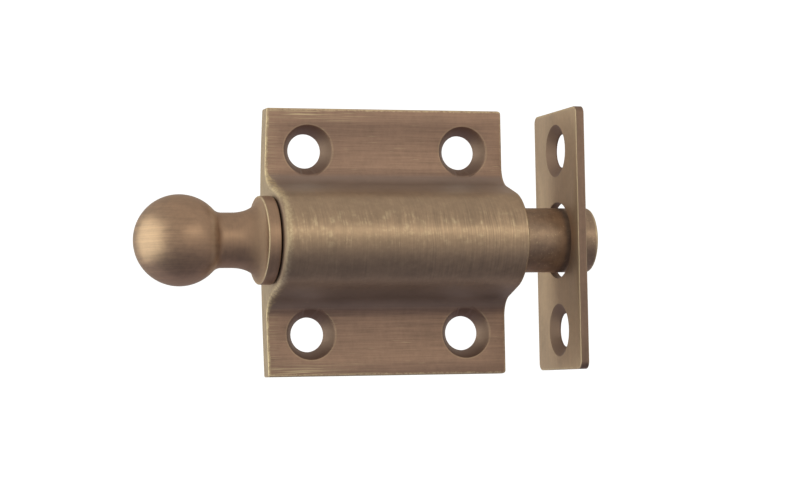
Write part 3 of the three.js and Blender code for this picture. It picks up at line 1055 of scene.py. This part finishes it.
def make_floor(stage):
    """A round floor whose rim turns up into a wall all the way round."""
    level = HOUSING[0].z - stage.floor_drop
    bend = stage.sweep * 0.5
    section = [(0, level)]
    section += arc((stage.sweep - bend, level + bend), bend, -QUARTER, 0, 24)
    section.append((stage.sweep, level + 2 * stage.sweep))
    bm = spun([(radius, 0, z) for radius, z in section], (0, 0, 0), (0, 0, 1), 96)
    bmesh.ops.remove_doubles(bm, verts=bm.verts, dist=0.1 * MM)
    bmesh.ops.recalc_face_normals(bm, faces=bm.faces)
    bmesh.ops.reverse_faces(bm, faces=bm.faces)
    floor = piece("floor", bm)
    for ray in ("visible_diffuse", "visible_glossy", "visible_transmission", "visible_shadow"):
        setattr(floor, ray, False)
    material = bpy.data.materials.new("pale_floor")
    material.use_nodes = True
    surface = material.node_tree.nodes["Principled BSDF"]
    surface.inputs["Base Color"].default_value = (0.82, 0.82, 0.81, 1)
    surface.inputs["Roughness"].default_value = 0.9
    surface.inputs["Specular IOR Level"].default_value = 0.1
    surface.inputs["Emission Color"].default_value = (1, 1, 1, 1)
    surface.inputs["Emission Strength"].default_value = 0.55
    floor.data.materials.append(material)


def soft_light(name, azimuth, elevation, distance, width, height, radiance, tint):
    """A flat soft light that looks at the latch from an azimuth and elevation."""
    light = bpy.data.lights.new(name, "AREA")
    light.shape = "RECTANGLE"
    light.size = width
    light.size_y = height
    light.energy = radiance * math.pi * width * height
    light.color = tint
    lamp = bpy.data.objects.new(name, light)
    bpy.context.scene.collection.objects.link(lamp)
    direction = Vector(
        (
            math.sin(azimuth) * math.cos(elevation),
            -math.cos(azimuth) * math.cos(elevation),
            math.sin(elevation),
        )
    )
    facing = direction.to_track_quat("Z", "Y").to_matrix().to_4x4()
    lamp.matrix_world = Matrix.Translation(direction * distance) @ facing


def make_lights(stage):
    soft_light(
        "left_light",
        azimuth=math.radians(-95),
        elevation=math.radians(3),
        distance=0.7,
        width=1.15,
        height=0.95,
        radiance=stage.left,
        tint=stage.cool,
    )
    soft_light(
        "strip_light",
        azimuth=math.radians(24),
        elevation=math.radians(18.4),
        distance=0.9,
        width=0.75,
        height=0.19,
        radiance=stage.strip,
        tint=(0.97, 1.0, 0.94),
    )


def make_surroundings(stage):
    """Even surroundings that darken towards the floor."""
    world = bpy.data.worlds.new("surroundings")
    bpy.context.scene.world = world
    world.use_nodes = True
    bench = Bench(world.node_tree)
    direction = bench.node("ShaderNodeTexCoord", output="Generated")
    _, y, z = bench.split(direction)
    upward = z.rising(-0.1, 0.75)
    downward = z.rising(0.02, -0.82)
    backward = y.rising(0.0, 0.45)
    level = stage.front + upward * (stage.above - stage.front)
    level = level + backward * (stage.behind - level)
    level = level + downward * (1 - backward * 0.85) * (stage.below - level)
    tone = bench.mix(downward, (1, 1, 1), stage.shadow)
    background = bench.node("ShaderNodeBackground", inputs={"Color": tone, "Strength": level})
    bench.node("ShaderNodeOutputWorld", inputs=[background])


def make_stage():
    stage = settings("stage")
    make_camera(stage)
    make_floor(stage)
    make_lights(stage)
    make_surroundings(stage)
    bpy.context.scene.view_settings.view_transform = "Standard"


# ------------------------------------------------------------------ operators and panel


class LATCH_OT_stage(bpy.types.Operator):
    """Set up the camera, the pale floor, the soft lights and the surroundings"""

    bl_idname = "latch.stage"
    bl_label = "Set the Stage"

    def execute(self, context):
        make_stage()
        return {"FINISHED"}


class LATCH_OT_housing(bpy.types.Operator):
    """Build the housing with its barrel, bore and countersunk screw holes"""

    bl_idname = "latch.housing"
    bl_label = "Build Housing"

    def execute(self, context):
        make_housing()
        return {"FINISHED"}


class LATCH_OT_knob(bpy.types.Operator):
    """Turn the ball knob with its collar and neck"""

    bl_idname = "latch.knob"
    bl_label = "Build Knob"

    def execute(self, context):
        make_knob()
        return {"FINISHED"}


class LATCH_OT_bolt(bpy.types.Operator):
    """Turn the round bolt"""

    bl_idname = "latch.bolt"
    bl_label = "Build Bolt"

    def execute(self, context):
        make_bolt()
        return {"FINISHED"}


class LATCH_OT_inner_pieces(bpy.types.Operator):
    """Build the spindle, the guide bush, the washer and the return spring"""

    bl_idname = "latch.inner_pieces"
    bl_label = "Build Inner Pieces"

    def execute(self, context):
        make_spindle()
        make_rings()
        make_spring()
        return {"FINISHED"}


class LATCH_OT_strike_plate(bpy.types.Operator):
    """Build the strike plate with its bolt hole and screw holes"""

    bl_idname = "latch.strike_plate"
    bl_label = "Build Strike Plate"

    def execute(self, context):
        make_strike_plate()
        return {"FINISHED"}


OPERATORS = (
    LATCH_OT_stage,
    LATCH_OT_housing,
    LATCH_OT_knob,
    LATCH_OT_bolt,
    LATCH_OT_inner_pieces,
    LATCH_OT_strike_plate,
)


class LATCH_PT_panel(bpy.types.Panel):
    """Lists the settings and the pieces in the 3D view's sidebar"""

    bl_label = "Spring Bolt Latch"
    bl_idname = "LATCH_PT_panel"
    bl_space_type = "VIEW_3D"
    bl_region_type = "UI"
    bl_category = "Latch"

    def draw(self, context):
        for operator in OPERATORS:
            self.layout.operator(operator.bl_idname)
        for group in GROUPS:
            box = self.layout.box()
            box.label(text=group.replace("latch_", "").capitalize())
            values = getattr(context.scene, group)
            for name in values.bl_rna.properties.keys():
                if name not in ("rna_type", "name"):
                    box.prop(values, name)


GROUPS = {
    "latch_housing": HousingSettings,
    "latch_knob": KnobSettings,
    "latch_strike": StrikeSettings,
    "latch_finish": FinishSettings,
    "latch_stage": StageSettings,
}


def register():
    for group in (*GROUPS.values(), *OPERATORS, LATCH_PT_panel):
        bpy.utils.register_class(group)
    for name, group in GROUPS.items():
        setattr(bpy.types.Scene, name, PointerProperty(type=group))


def unregister():
    for name in GROUPS:
        delattr(bpy.types.Scene, name)
    for group in (LATCH_PT_panel, *reversed(OPERATORS), *reversed(GROUPS.values())):
        bpy.utils.unregister_class(group)


def main():
    register()
    bpy.ops.latch.stage()
    bpy.ops.latch.housing()
    bpy.ops.latch.knob()
    bpy.ops.latch.bolt()
    bpy.ops.latch.inner_pieces()
    bpy.ops.latch.strike_plate()


if __name__ == "__main__":
    main()
